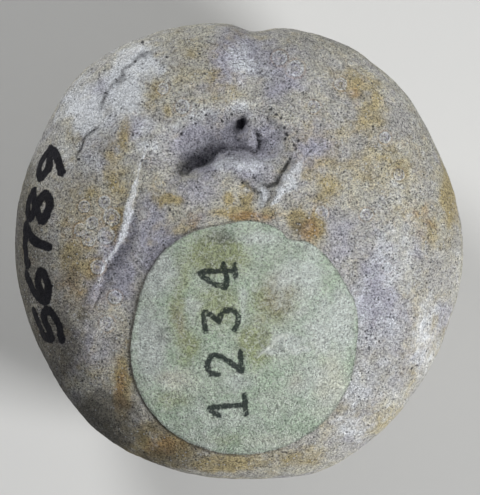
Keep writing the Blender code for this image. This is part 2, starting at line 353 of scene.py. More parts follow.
def lip(plan):
    """The lip's broken rear edge and notch, and the rib on the right with a crack along its foot."""
    edge = ledge(plan, LIP_EDGE, edge=0.16, reach=0.9)
    rib = -furrow(plan, LIP_RIB, left=0.6, right=0.3)
    crack = furrow(plan, LIP_CRACK, left=0.12, right=0.14)
    return edge + rib + crack + mound(plan, *LIP_NOTCH)


def underside(plan):
    """The relief of the flat side, apart from the front groove."""
    side, drop = beside(plan, BROKEN_EDGE[::-1])
    broken = ledge(plan, BROKEN_EDGE[::-1], edge=0.2, reach=1.9)
    gutter = GUTTER_SHARE * drop * bell(side - GUTTER_SIDE, GUTTER_REACH)
    hair = furrow(plan, HAIR_CRACK, left=0.1, right=0.16)
    swells = mounds(plan, BREAST, LEFT_HOLLOW, RIGHT_HOLLOW)
    return swells + mouth(plan) + lip(plan) + broken + gutter + hair


# %% The petals, the front groove and the vent
CROWN = (0, -0.5)
PETALS = ((-60, 6.2, 0.82), (60, 6.2, 0.82), (-140, 4.3, 0.72), (140, 4.3, 0.72))  # turn, length, half width
PETAL_START = 0.95
PETAL_DEPTH = 0.34
GROOVE_X = 0.62
GROOVE_HALF_WIDTH = 0.85
GROOVE_DEPTH = 0.3
NOTCH_EXTRA = 0.04
CROWN_PLATES = (0.1, CROWN, (0.75, 0.75))
KEEL = (0.3, (0, -6), (1.3, 3.5))
VENT_HEIGHT = 5.0
VENT_RADII = (0.75, 1)
VENT_DEPTH = 0.4


def along_petal(plan, turn):
    """(distance from the crown along a petal's middle line, distance across it) for plan points."""
    a = math.radians(turn)
    off = plan - np.array(CROWN)
    return off @ np.array((math.sin(a), math.cos(a))), off @ np.array((math.cos(a), -math.sin(a)))


def leaf_half_width(along, length, half_width):
    t = np.clip((along - PETAL_START) / (length - PETAL_START), 0, 1)
    return half_width * np.sin(math.pi * np.clip(t * 0.86 + 0.1, 0, 1)) ** 0.6


def petal(plan, turn, length, half_width):
    """A leaf-shaped hollow that starts near the crown and narrows to its tip."""
    along, across = along_petal(plan, turn)
    leaf = leaf_half_width(along, length, half_width)
    begun = smooth(along, PETAL_START - 0.3, PETAL_START + 0.5)
    ended = smooth(along, length - 0.5, length + 0.2)
    walls = smooth(np.abs(across), 0.45 * leaf, 1.15 * leaf)
    return -PETAL_DEPTH * begun * (1 - ended) * (1 - walls)


def back(plan):
    """The relief of the domed side: the star of petals, the crown plates and the keel behind them."""
    return sum(petal(plan, *shape) for shape in PETALS) + mounds(plan, CROWN_PLATES, KEEL)


def front_groove(points, up):
    """The groove that runs from the crown down the front, makes the notch and comes in towards the mouth."""
    across = bell(points[:, 0] - GROOVE_X * smooth(points[:, 1], 0, 4), GROOVE_HALF_WIDTH)
    on_underside = smooth(up, -0.2, 0.3)
    depth = on_underside * GROOVE_DEPTH * smooth(points[:, 1], 5.8, 8.3)
    depth += (1 - on_underside) * PETAL_DEPTH * smooth(points[:, 1], 0.6, 2.6)
    notch = NOTCH_EXTRA * bell(up, 0.35) * smooth(points[:, 1], 5, 8)
    return -across * (depth + notch)


def vent(points):
    """The animal's rear opening, a shallow oval high on the back end, choked with sediment."""
    oval = np.hypot(points[:, 0] / VENT_RADII[0], (points[:, 2] - VENT_HEIGHT) / VENT_RADII[1])
    return -VENT_DEPTH * (1 - smooth(oval, 0.6, 1.15)) * (points[:, 1] < -6)


# %% [markdown]
# Broken stone has no clean curves. Each point therefore reads the rules from a place a little beside its
# own, and which way it looks changes from bump to bump. The same `wander` later makes the stains follow
# the relief.

# %% Push the ball out to the stone's shape
plain = plain_form(points_of(stone))
put_points(stone, plain)
normals = rows_of(stone.data.vertex_normals, "vector")
up = normals[:, 2]
plan = plain[:, :2]
weathering = 0.056 * rough(plain, 3.0) + 0.019 * rough(plain, 1.1)
fine = 0.016 * rough(plain, 0.5, seed=7) + 0.012 * rough(plain, 0.22, seed=3)
wander = sum(
    reach * np.column_stack([rough(plain, size, seed=21), rough(plain, size, seed=33)])
    for reach, size in ((0.1, 0.7), (0.04, 0.22))
)
out = smooth(-up, 0.1, 0.4) * back(plan) + front_groove(plain, up) + vent(plain) + weathering + fine
shaped = plain + normals * out[:, None]
shaped[:, 2] += smooth(up, 0.1, 0.4) * underside(plan + wander)
size = high - low + np.array((0, 0, WORN_OFF))
bottom, top = shaped.min(axis=0), shaped.max(axis=0)
shaped = (shaped - (top + bottom) / 2) * size / (top - bottom)
shaped += (high + low) / 2 - np.array((0, 0, WORN_OFF / 2))
shaped[:, 2] = np.maximum(shaped[:, 2], 0)  # the crown's worn flat, on which the stone rests
put_points(stone, shaped * MM)
stone.data.shade_smooth()
print("the stone spans", shaped.min(axis=0).round(2), "to", shaped.max(axis=0).round(2), "mm")

# %% [markdown]
# ## The label
# The label is a disc of thin paper, cut by hand, with a bite torn out of its front edge. A grid of squares
# is rounded into a disc, dropped onto the stone with Shrinkwrap and given its thickness with Solidify.
# Paper bridges the smallest pits, so the dropped disc is smoothed a little.

# %% The paper disc
LABEL_CUTS = 150
PAPER_THICKNESS = 0.05
LABEL_EDGE = (  # (direction in degrees, radius)
    (16, 4.99), (30, 4.91), (54, 4.97), (61, 4.78), (67, 4.66), (72, 4.9), (86, 5.06),
    (102, 4.98), (117, 5.1), (133, 5.1), (146, 5), (169, 4.84), (195, 5.06), (225, 5.16),
    (253, 5.1), (292, 5), (309, 4.97), (332, 4.92), (357, 4.84),
)
CREASE = (  # a fold with torn fibres, as (x, y, height)
    (0.55, -4.85, 0), (1.1, -4.25, 0.065), (1.6, -3.88, 0.075), (2.05, -3.62, 0.075),
    (1.9, -4.1, 0.065), (2.35, -4.4, 0.05), (3.5, -3.9, 0),
)


def label_radius(angle):
    return radius_around(LABEL_EDGE, angle, again=1, steps=6)


def past_label_edge(plan):
    """How far plan points lie outside the label's edge, negative on the label."""
    off = plan - np.array(LABEL_CENTRE)
    return np.hypot(*off.T) - label_radius(np.arctan2(off[:, 1], off[:, 0]))


def flat(plan, seed=0.0):
    """Plan points as points in space, for noise."""
    return np.column_stack([plan, np.full(len(plan), seed)])


bpy.ops.object.select_all(action="DESELECT")
bpy.ops.mesh.primitive_grid_add(x_subdivisions=LABEL_CUTS, y_subdivisions=LABEL_CUTS, size=2)
label = bpy.context.object
label.name = "label"
square = points_of(label)
u, v = square[:, 0], square[:, 1]
disc = np.column_stack([u * np.sqrt(1 - v * v / 2), v * np.sqrt(1 - u * u / 2)])
turn = np.arctan2(disc[:, 1], disc[:, 0])
frayed = np.hypot(*disc.T) ** 8 * 0.004 * rough(flat(disc * 16), 1.0, seed=5)
disc = disc * (label_radius(turn) * (1 + frayed))[:, None] + LABEL_CENTRE
put_points(label, flat(disc, high[2] + 2) * MM)
drape = label.modifiers.new("drape", "SHRINKWRAP")
drape.target = stone
drape.wrap_method = "PROJECT"
drape.use_project_z, drape.use_negative_direction, drape.use_positive_direction = True, True, False
iron = label.modifiers.new("iron", "SMOOTH")
iron.factor, iron.iterations = 0.5, 6
apply_modifiers(label)
print("the disc is", np.ptp(disc, axis=0).round(2), "mm")

# %% Cockles, the fold and the paper's thickness
side, fold = beside(disc, CREASE)
crumpled = side + 0.07 * rough(flat(disc), 0.25, seed=14)
pressed = points_of(label) / MM
pressed[:, 2] += 0.022 + 0.01 * rough(flat(disc), 1.1, seed=11) + 0.008 * rough(flat(disc), 0.3, seed=2)
pressed[:, 2] += fold * bell(crumpled, 0.1)
put_points(label, pressed * MM)
paper = label.modifiers.new("paper", "SOLIDIFY")
paper.thickness, paper.offset = PAPER_THICKNESS * MM, 1
apply_modifiers(label)
label.data.shade_smooth()
bpy.ops.object.shade_smooth_by_angle(angle=math.radians(50))
print("the label has", len(label.data.polygons), "faces")

# %% [markdown]
# ## Where the stains lie
# Limestone is never one colour. Iron has stained it ochre and rust, the crushed mouth is lilac grey, and
# the smooth parts are chalky. Each stain is painted on the points as an amount, in soft blobs and lines,
# and the material later breaks its edge up with noise. An image wrapped around the stone would smear at its
# sides.

# %% Brushes
PLAN = shaped[:, :2]
BRUSHED = PLAN + wander  # where the stains are read from, so that they follow the broken relief
LEVEL = shaped[:, 2]
FACES_UP = smooth(normals[:, 2], -0.35, 0.15)


def blobs(plan, *rows):
    """The strongest of several soft blobs: (x, y, half width, half height, strength) seen from above."""
    return np.max([mound(plan, s, (x, y), (w, h)) for x, y, w, h, s in rows], axis=0)


def stroke(plan, line, reach):
    """A soft band along a line of (x, y, strength)."""
    side, strength = beside(plan, line)
    return strength * bell(side, reach)


def band(plan, line):
    """A band with a fairly sharp edge along a line of (x, y, half width)."""
    side, width = beside(plan, line)
    return 1 - smooth(np.abs(side) / np.maximum(width, 0.01), 0.5, 1.25)


def paint(piece, name, values):
    """Stores one number for each point of a piece, which its material can read by name."""
    stored = piece.data.attributes.new(name, "FLOAT", "POINT")
    stored.data.foreach_set("value", np.asarray(values, dtype=np.float32))


def strength_along(line, strengths):
    """A line's places with new third numbers."""
    return [(x, y, s) for (x, y, *_), s in zip(line, strengths)]


# %% Iron stains: ochre and rust, and dark dirt with painted shade on the left rim
ochre = blobs(
    BRUSHED,
    (0.3, 1.62, 1.6, 0.3, 1.3), (2.5, 1.35, 0.5, 0.5, 1.5), (0.35, 2.3, 0.26, 0.6, 1.6),
    (-0.45, 2.15, 0.3, 0.3, 1.5), (-5.35, 1.2, 0.6, 0.9, 0.9), (-2.95, 2.15, 0.5, 0.22, 1.3),
    (-5.4, 3.1, 0.55, 1.4, 0.75), (-5, 5.2, 0.35, 0.9, 0.8), (-6.8, 2, 1.4, 1.6, 0.6),
    (-6.9, -0.6, 1.3, 2.6, 0.62), (-5, -5.6, 0.4, 2, 0.95), (-3.2, -8.5, 1.8, 0.9, 1.2),
    (-0.6, -9.2, 2, 0.5, 1.1), (2.2, -9, 1.6, 0.5, 0.7), (9.2, 2.6, 0.6, 2.2, 0.9), (4.9, 7.1, 1, 0.7, 0.85),
    (5.8, 5.9, 0.7, 1.1, 0.8), (-2, 8.7, 1.2, 0.6, 0.45), (-3.55, 2.7, 0.4, 0.3, 0.6),
    (-3.6, 7, 0.5, 0.7, 0.8), (-3.2, 6, 0.3, 0.4, 0.7), (3.3, 1.1, 0.35, 0.75, 1.4),
    (6.8, 3.6, 1.6, 1.2, 0.6), (7.4, 1.4, 1.4, 1.2, 0.5), (3.6, 2.6, 0.8, 0.8, 0.6), (8.1, -4, 0.9, 2.2, 0.5),
    (5.6, -7.2, 2.2, 0.8, 0.5), (-2.6, 0.9, 0.8, 0.35, 0.7), (4, 4.6, 1.2, 1.4, 0.45),
    (-2.2, 7.6, 1.6, 0.8, 0.45),
)
rust = blobs(
    BRUSHED,
    (0.5, 1.5, 1, 0.18, 1.3), (3, 0.9, 0.45, 0.5, 1.1), (-5.1, -6, 0.35, 1.5, 0.9),
    (-3.3, -8.4, 1.1, 0.6, 0.85), (-7.2, -1.4, 0.9, 1.2, 0.45), (5, 6.8, 0.5, 0.5, 0.5),
    (-7, 0.8, 0.8, 0.9, 0.4), (7.9, 1.4, 0.8, 0.9, 0.5), (-2, 1.3, 0.5, 0.3, 0.6),
)
# Dark dirt, and painted shade: the blobs along the left and lower-left rim darken the side that faces away
# from the lamps.
dirt_and_rim_shade = blobs(
    BRUSHED,
    (-8.2, -4.3, 1.5, 2.4, 1.4), (-5.9, -7.4, 1.8, 1.6, 1.3), (-9.5, 0.2, 1.1, 3.6, 1.5),
    (-3.2, -9, 2.2, 0.7, 0.8), (-6.9, -2.6, 1.1, 1.8, 0.6), (0.5, 9.6, 1.4, 0.5, 0.4),
    (-9.4, 3.6, 0.7, 2.2, 1), (-5.3, -3.9, 0.7, 1.4, 0.4), (-8.5, -1.2, 0.8, 2.2, 0.75),
    (2.45, 1.05, 0.5, 0.5, 0.8), (-3.6, -7.7, 1, 0.6, 0.8), (-7.2, -1, 1, 1.6, 0.55),
    (5, 6.6, 0.6, 0.6, 0.35),
)
for name, amount in (("ochre", ochre), ("rust", rust), ("dirt_and_rim_shade", dirt_and_rim_shade)):
    paint(stone, name, amount * FACES_UP)

# %% Lilac marl and chalk
lilac = np.maximum(
    blobs(
        BRUSHED,
        (-0.6, 4.6, 2.6, 1.4, 1.1), (-3.7, 0.4, 0.9, 2, 1.1), (-5, -1.2, 0.7, 1.3, 1.2),
        (5.9, -1.6, 1.3, 2.8, 0.85), (-6, 6.8, 1.4, 1, 0.6), (-2, 2.6, 1.4, 0.9, 0.8),
        (3.3, 4.4, 1.1, 1.3, 0.85), (6.8, -3.2, 1.4, 2.6, 0.65), (1.5, 7.6, 1.4, 1.6, 0.8),
        (-6.4, -4.2, 1, 1.6, 0.7), (4.3, 0.4, 1, 1.8, 0.7), (-0.9, 7, 1.6, 0.5, 0.6),
        (-0.3, 8.4, 0.9, 1.3, 1.8), (-4.4, 5.5, 0.7, 0.6, 0.8), (7.6, 0.2, 0.8, 1.2, 0.5),
        (4.6, -8.2, 1.6, 0.6, 0.4),
    ),
    stroke(BRUSHED, strength_along(BROKEN_EDGE[3:9], (0.0, 0.8, 1, 1.1, 1, 0.7)), 0.8),
)
WHITE_FACE = (  # (x, y, half width)
    (-4, 4.5, 0.02), (-4.15, 4, 0.07), (-4.35, 3.3, 0.06), (-4.47, 2.8, 0.12), (-4.68, 2.3, 0.2),
    (-4.82, 1.7, 0.24), (-4.88, 1.1, 0.2), (-5.05, 0.5, 0.13), (-5.5, -0.2, 0.09), (-5.95, -1, 0.05),
    (-6.2, -1.6, 0.02),
)
WHITE_RIB = ((2.75, 4, 0.02), (2.45, 3.55, 0.26), (2.1, 3.05, 0.34), (1.75, 2.55, 0.22), (1.4, 2, 0.04))
chalk = np.maximum.reduce([
    blobs(
        BRUSHED,
        (-5, 7, 0.9, 1.3, 1.5), (-6.5, 6, 1.2, 1.4, 1.05), (5.4, -5.6, 2.4, 2, 0.45),
        (4.8, -2.8, 1.2, 1.6, 0.7), (8, -3.6, 0.8, 2, 0.75), (-4.3, 8.2, 1.1, 1, 1.1),
        (-7, 4.4, 1.3, 1.3, 0.5), (-3.35, 2.65, 0.4, 0.3, 0.6), (7, -0.2, 1.2, 3, 0.5),
        (0.25, 3.72, 1.35, 0.42, 0.75), (0.2, 8.3, 0.7, 1.3, 0.55), (4.6, -7.6, 1.4, 0.7, 0.6),
        (1, 2.4, 0.22, 0.6, 0.9), (6.4, -3.2, 1.4, 1.6, 0.5), (-4, 5.4, 0.6, 0.5, 0.6),
        (0.3, 2.55, 0.3, 0.3, 0.7),
    ),
    0.68 * band(BRUSHED, WHITE_FACE),
    0.66 * band(BRUSHED, WHITE_RIB),
    stroke(BRUSHED, strength_along(MOUTH_RIM, (0.4, 0.4, 0.45, 0.55, 0.45, 0.3, 0.2, 0.2, 0)), 0.4),
])
for name, amount in (("lilac", lilac), ("chalk", chalk)):
    paint(stone, name, amount * FACES_UP)
print("lilac and chalk painted")

# %% Painted shade in the deep places: the mouth's hollow, cracks, creases and the foot of the broken edge
foot = [(x + 0.45, y - 0.1) for x, y, _ in BROKEN_EDGE[4:9]]
blue_streak = [(-3.8, 8.75, 0.0), *[(x, y, 0.75) for x, y in PIT_ROW], (-6.1, 6.1, 0.0)]
SHADED_WALL = ((-2.6, 3.9, 0.2), (-1.9, 4.4, 0.4), (-1.1, 4.8, 0.5), (-0.3, 5.15, 0.55), (0.4, 5.4, 0.2))
SLAB_FOOT = ((-1.7, 3.75, 0.5), (-1, 3.95, 0.3), (-0.3, 4.1, 0.4), (0.3, 4.2, 0.2))
# This dark amount is painted shade: darker in the mouth's hollow and throat, along the cracks and creases, at
# the foot of the broken edge and along the pit row.
painted_shade = np.maximum.reduce([
    blobs(
        BRUSHED,
        (0.1, 5.62, 0.14, 0.2, 1), (-0.08, 5.2, 0.35, 0.55, 0.6), (-1.8, 3.8, 0.6, 0.4, 0.7),
        (1, 2.9, 0.42, 0.2, 0.5), (1, 4.45, 0.3, 0.25, 0.35), (-1.5, 5.6, 1.3, 0.3, 0.25),
    ),
    stroke(BRUSHED, strength_along(MOUTH_TROUGH[1:7], (0.1, 0.6, 0.8, 0.5, 0.4, 0.1)), 0.2),
    stroke(BRUSHED, SHADED_WALL, 0.55),
    stroke(BRUSHED, SLAB_FOOT, 0.2),
    stroke(BRUSHED, strength_along(foot, (0.0, 0.25, 0.4, 0.4, 0.0)), 0.32),
    stroke(BRUSHED, strength_along(LIP_CRACK, (0, 0.55, 0.4, 0.15, 0.1, 0)), 0.06),
    stroke(BRUSHED, strength_along(KNOB_CREASE, (0, 0.8, 0.7, 0)), 0.08),
    stroke(BRUSHED, strength_along(LIP_EDGE, (0, 0.9, 0.9, 0)), 0.06),
    stroke(BRUSHED, strength_along(HAIR_CRACK, (0, 0.8, 0.9, 0.9, 0.3)), 0.045),
    stroke(BRUSHED, blue_streak, 0.1),
])
paint(stone, "painted_shade", painted_shade * FACES_UP)
print("deep places painted")

# %% Glue and dirt round the label, and its edge's painted shadow on the left and lower side
off = PLAN - np.array(LABEL_CENTRE)
bearing = np.degrees(np.arctan2(off[:, 1], off[:, 0])) % 360
# The dark line is heavier on the left and lower side, where it is the label edge's painted shadow.
shadow_side = 0.35 + 0.65 * smooth(bearing, 95, 160) * (1 - smooth(bearing, 245, 300))
paint(stone, "glue_and_edge_shadow", shadow_side * bell(past_label_edge(PLAN) - 0.02, 0.1) * (normals[:, 2] > 0))
print("painted", len(stone.data.attributes), "layers on the stone")

# %% [markdown]
# ## Marks of the animal
# Every spine stood on a tubercle: a low boss in a sunken ring. The largest are placed one by one, and each
# point of the mesh stores how far it is from the nearest, as a share of that one's radius. The material
# draws boss and ring from it, finer than the mesh. The tube feet came out of pairs of pores in the petals.
# Their pattern follows from the distance along the petal and across it, which are stored too.

# %% Measure to the tubercles and the pits
TUBERCLES = (  # (x, y, radius)
    (-5.5, 1.45, 0.35), (-5.75, 0.65, 0.36), (-5.82, 2.1, 0.26), (-6.35, 1.2, 0.26), (-6.5, 0.5, 0.3),
    (-6.12, -0.71, 0.3), (-5.72, -3.15, 0.3), (-5.37, -2.02, 0.28), (-6.7, 1.9, 0.25), (-6.85, 0.9, 0.27),
    (-2.45, 6.22, 0.3), (3.52, 1.64, 0.28), (5.48, 1.56, 0.26), (2.43, 7.88, 0.34), (1.75, 8.35, 0.3),
    (4.39, 7.22, 0.26), (3.21, 6.22, 0.26), (6.3, 4.9, 0.24), (6.9, 3.3, 0.24), (-3.3, 7, 0.24),
)
SMALL_PITS = (
    (-4.5, 8.2), (-5.3, 7.35), (-5.75, 6.8), (-4.2, 9.05), (-3.89, 9.14), (-6.07, 7.66), (-5.85, 7.83),
    (-2.67, 9.49), (-3.11, 8.4), (-6.94, 3.95), (1.6, 5.9), (1.8, 5.7), (1.95, 5.3), (2.05, 5),
    (2, 4.8), (2.35, 4.55), (2.45, 4.35), (1.35, 6.1), (0.6, 3.17), (0.66, 3.1), (-4.2, 3.9),
    (-3, 1.75), (-2.85, 1.6), (-4.6, 5), (3, 4.5), (-2.1, 5.7), (-1.9, 5.5), (-1.45, 5.85),
    (-1.2, 5.3), (-0.75, 5.6), (-2.5, 5.05), (-0.35, 5.9), (2.2, 3.95), (2.55, 4.75),
)


def nearest_share(rows):
    """Each point's distance to the nearest of some (x, y, radius), as a share of the radius."""
    return np.min([np.hypot(*(PLAN - (x, y)).T) / radius for x, y, radius in rows], axis=0)


upper = normals[:, 2] > 0
wavy = 0.04 * rough(flat(PLAN), 0.1, seed=9)
paint(stone, "tubercle", np.where(upper, nearest_share(TUBERCLES), 3))
paint(stone, "pit", np.where(upper, nearest_share([(x, y, 1) for x, y in SMALL_PITS]) + wavy, 1))
print(len(TUBERCLES), "tubercles and", len(SMALL_PITS), "pits")

# %% Measure along and across the petals
along, across = np.full(len(PLAN), -1.0), np.full(len(PLAN), 3.0)
for petal_turn, petal_length, half_width in PETALS:
    far, off = along_petal(PLAN, petal_turn)
    off = off / np.maximum(leaf_half_width(far, petal_length, half_width), 0.3)
    here = (normals[:, 2] < 0.2) & (far > 0.6) & (far < petal_length + 0.4) & (np.abs(off) < np.abs(across))
    along[here], across[here] = far[here], off[here]
paint(stone, "along_petal", along)
paint(stone, "across_petal", across)
print("measured", len(PETALS), "petals")

# %% [markdown]
# ## Patches on the label
# The paper's green has faded in patches. Lime has bloomed through it on the left, damp has left olive
# stains round the number, and fingers have greyed its front edge. They are painted in the same way.

# %% Paint the label
on_label = points_of(label) / MM
LABEL_PLAN = on_label[:, :2]
label_wander = 0.1 * np.column_stack([rough(flat(LABEL_PLAN), 0.5, seed=s) for s in (41, 43)])
touched = LABEL_PLAN + label_wander
LABEL_BLOBS = {
    "bloom": (
        (2.1, -3.9, 0.7, 0.3, 1.3), (1.3, -4.3, 0.45, 0.2, 1.3), (2.6, -4.3, 0.5, 0.2, 1.1),
        (4.4, -3, 0.7, 1.6, 1.2), (-3.5, -0.9, 0.9, 1.3, 1.15), (-3.9, -3.9, 0.75, 1.4, 1.2),
        (3.7, -3.1, 1, 1.6, 0.75), (3, -5.6, 1.2, 1.4, 0.6), (-0.6, -7.2, 2.4, 1.3, 0.5),
        (2.9, -1, 1.3, 1.2, 0.6), (0.9, 0.5, 1, 0.5, 0.9), (-0.2, -5.7, 0.9, 0.6, 0.7),
        (2, -4.1, 0.9, 0.5, 0.8), (-2, -2.4, 0.45, 0.5, 0.6), (0.2, -2.2, 0.22, 0.9, 0.6),
    ),
    "olive": (
        (0.75, -4, 0.9, 0.9, 1.25), (-0.9, -0.2, 1.4, 1, 1.35), (-2.2, -4.1, 0.55, 0.8, 1),
        (-1, -2.2, 1.2, 1.2, 0.85), (1.3, -2.4, 1.1, 1.1, 0.9), (-2.9, -6.4, 0.9, 0.5, 0.6),
        (-0.8, -8.2, 1.4, 0.35, 0.5),
    ),
    "brown": (
        (-2.7, -2.9, 0.4, 1.2, 0.6), (1.75, -1.9, 0.9, 1.2, 1.2), (-2.5, -3.2, 0.35, 0.9, 0.9),
        (2.5, -5.6, 0.45, 0.55, 0.8), (0.9, -3, 0.5, 0.4, 0.6), (-3.3, -5.5, 0.8, 0.25, 0.8),
    ),
    "grime": (
        (-0.8, 0.6, 0.8, 0.4, 1.1), (-0.9, -0.5, 1.3, 0.8, 0.5), (1, -3.7, 0.35, 0.5, 0.6),
        (-3.3, -3.7, 0.35, 0.5, 0.8), (2.3, 0.1, 1, 0.3, 0.5),
    ),
    "cream": (
        (3.9, -5.7, 0.8, 1.5, 1.2), (-2.6, -5.6, 0.9, 0.6, 0.8), (1.4, -8.2, 1.4, 0.4, 0.6),
        (3.4, -3.9, 0.5, 0.6, 0.7),
    ),
}
DAMP_TRAIL = ((-1.9, 0.2, 0.6), (-2.4, -1.0, 0.75), (-2.7, -2.6, 0.75), (-2.3, -4.6, 0.65))
label_paint = {name: blobs(touched, *rows) for name, rows in LABEL_BLOBS.items()}
label_paint["olive"] = np.maximum(label_paint["olive"], stroke(touched, DAMP_TRAIL, 0.5))
label_paint["torn"] = 0.85 * band(touched, [(x, y, 0.9 * tall) for x, y, tall in CREASE])
rim_grime = 0.8 * bell(past_label_edge(LABEL_PLAN) + 0.01, 0.07)
label_paint["grime"] = np.maximum(label_paint["grime"], rim_grime)
for name, amount in label_paint.items():
    paint(label, name, amount)
print("painted", len(label_paint), "layers on the label")

# %% [markdown]
# ## Writing
# The label carries a number from a rubber stamp, and the stone's left side one in a collector's marker
# pen. Each digit is a few strokes in a box one unit high. Each point of the mesh stores its distance to
# the nearest stroke, and the material inks what is nearer than half a pen's width, with an edge sharper
# than the mesh. Turning text into a mesh would give the digits a thickness, which ink doesn't have.

# %% The strokes of the digits
STAMP_DIGITS = {
    "1": [[(0.15, 0.78), (0.42, 1), (0.42, 0)], [(0.12, 0), (0.74, 0)]],
    "2": [
        [(0.06, 0.7), (0.14, 0.93), (0.42, 1), (0.7, 0.8), (0.58, 0.5), (0.1, 0.04)],
        [(0.1, 0.02), (0.76, 0.02)],
    ],
    "3": [
        [(0.08, 0.96), (0.7, 0.96), (0.36, 0.56)],
        [(0.36, 0.56), (0.68, 0.42), (0.68, 0.12), (0.38, 0), (0.06, 0.14)],
    ],
    "4": [[(0.56, 0), (0.56, 1), (0.04, 0.3), (0.82, 0.3)], [(0.36, 0), (0.78, 0)]],
}
PEN_DIGITS = {
    "5": [
        [(0.75, 1), (0.25, 0.96)],
        [(0.25, 0.96), (0.16, 0.55), (0.58, 0.58), (0.68, 0.22), (0.36, 0), (0.04, 0.14)],
    ],
    "6": [[(0.66, 1.02), (0.24, 0.66), (0.08, 0.22), (0.4, 0), (0.68, 0.24), (0.46, 0.46), (0.14, 0.26)]],
    "7": [[(0.04, 0.84), (0.1, 0.97), (0.78, 1)], [(0.78, 1), (0.5, 0.55), (0.38, -0.06)]],
    "8": [[
        (0.6, 0.82), (0.34, 1), (0.12, 0.78), (0.62, 0.3),
        (0.42, 0), (0.1, 0.2), (0.28, 0.5), (0.62, 0.84),
    ]],
    "9": [
        [(0.66, 0.78), (0.36, 1), (0.1, 0.74), (0.34, 0.5), (0.66, 0.76)],
        [(0.66, 0.76), (0.62, 0.36), (0.36, -0.08)],
    ],
}


def distance_to_digits(points, digits, shapes, width, height, advance):
    """How far points are from the strokes of a row of digits, with x along the row and y up the digits."""
    strokes = [
        [(x * width + place * advance, y * height, 0) for x, y in corners]
        for place, digit in enumerate(digits)
        for corners in shapes[digit]
    ]
    return np.min([np.abs(beside(points, corners, steps=6)[0]) for corners in strokes], axis=0)


# %% Write on the stone's left side
PEN_START = -27.0  # degrees from the left side, towards the front
PEN_BASELINE = 8.6  # distance from the middle of the stone at which the digits stand, seen from above
PEN_DIGIT = (2.25, 1.4)  # width and height
PEN_ADVANCE = 1.84
PEN_RING = 9.2  # radius of the row, which turns degrees into lengths along it
FAR_AWAY = 9  # stored where there is no ink

slope = np.linspace(0, math.pi / 2, 200)
side_profile = plain_form(np.column_stack([-np.cos(slope), 0 * slope, np.sin(slope)]))
walked = np.concatenate([[0], np.cumsum(np.hypot(*np.diff(side_profile[:, [0, 2]], axis=0).T))])
climbed = np.interp(LEVEL, side_profile[:, 2], walked)
baseline = np.interp(-PEN_BASELINE, side_profile[:, 0], walked)
bearing = np.arctan2(PLAN[:, 1], -PLAN[:, 0]) - math.radians(PEN_START)
row = np.column_stack([PEN_RING * bearing, baseline - climbed])
written = (PLAN[:, 0] < -6) & upper
from_pen = distance_to_digits(row, "56789", PEN_DIGITS, *PEN_DIGIT, PEN_ADVANCE)
paint(stone, "ink", np.where(written, from_pen, FAR_AWAY))
print("wrote 5 digits on the stone")

# %% Stamp the label
STAMP_LEAN = math.radians(4.5)
STAMP_START = np.array((0.3, -7.2))
STAMP_DIGIT = (1.3, 1.5)
STAMP_ADVANCE = 1.88

away = LABEL_PLAN - STAMP_START
along_row = away[:, 1] * math.cos(STAMP_LEAN) - away[:, 0] * math.sin(STAMP_LEAN)
up_row = -away[:, 0] * math.cos(STAMP_LEAN) - away[:, 1] * math.sin(STAMP_LEAN)
row = np.column_stack([along_row, up_row])
paint(label, "ink", distance_to_digits(row, "1234", STAMP_DIGITS, *STAMP_DIGIT, STAMP_ADVANCE))
print("stamped 4 digits on the label")

# %% [markdown]
# ## Wiring materials
# A material is a chain of nodes. These short helpers add one node each and return its output, so that a
# chain reads like a sum. A new node goes into the tree of the sockets that are linked to it. Effects that
# the stone and the label share, such as grain, specks and stain edges, become node groups: boxes of nodes
# with named sockets, used with different values.

# %% Helpers that add nodes


def node(kind, sockets, **settings):
    """Adds a node beside those that feed it, and sets or links its sockets."""
    fed = {name: value for name, value in sockets.items() if isinstance(value, bpy.types.NodeSocket)}
    tree = next(iter(fed.values())).id_data
    made = tree.nodes.new("ShaderNode" + kind)
    for name, value in settings.items():
        setattr(made, name, value)
    for name, value in sockets.items():
        if name in fed:
            tree.links.new(value, made.inputs[name])
        else:
            made.inputs[name].default_value = value
    return made


def maths(operation, a, b=0.0, c=0.0):
    return node("Math", {0: a, 1: b, 2: c}, operation=operation).outputs[0]


def times(a, b, plus=None):
    """a * b, or a * b + plus."""
    return maths("MULTIPLY", a, b) if plus is None else maths("MULTIPLY_ADD", a, b, plus)


def away_from(value, middle):
    """How far a value is from another."""
    return maths("ABSOLUTE", maths("SUBTRACT", value, middle))


def fade(value, low, high, to_low=0.0, to_high=1.0):
    """An S-shaped change from to_low to to_high as the value goes from low to high."""
    sockets = {"Value": value, "From Min": low, "From Max": high, "To Min": to_low, "To Max": to_high}
    return node("MapRange", sockets, interpolation_type="SMOOTHSTEP").outputs["Result"]


def clouds(vector, size, detail=2.0, roughness=0.5):
    """Smooth noise from 0 to 1 with bumps of about this size in mm."""
    sockets = {"Vector": vector, "Scale": 1 / size, "Detail": detail, "Roughness": roughness}
    return node("TexNoise", sockets).outputs["Fac"]


def blend(amount, under, over, mode="MIX"):
    """Lays one colour over another."""
    sockets = {0: amount, 6: under, 7: over}
    return node("Mix", sockets, data_type="RGBA", blend_type=mode, clamp_factor=True).outputs[2]


def lay(colour, mask, opacity, over):
    """Lays a colour over another inside a mask, at this opacity."""
    return blend(times(mask, opacity), colour, over)


def stored(tree, name):
    """A painted layer's value."""
    made = tree.nodes.new("ShaderNodeAttribute")
    made.attribute_name = name
    return made.outputs["Fac"]


# %% Helpers for groups


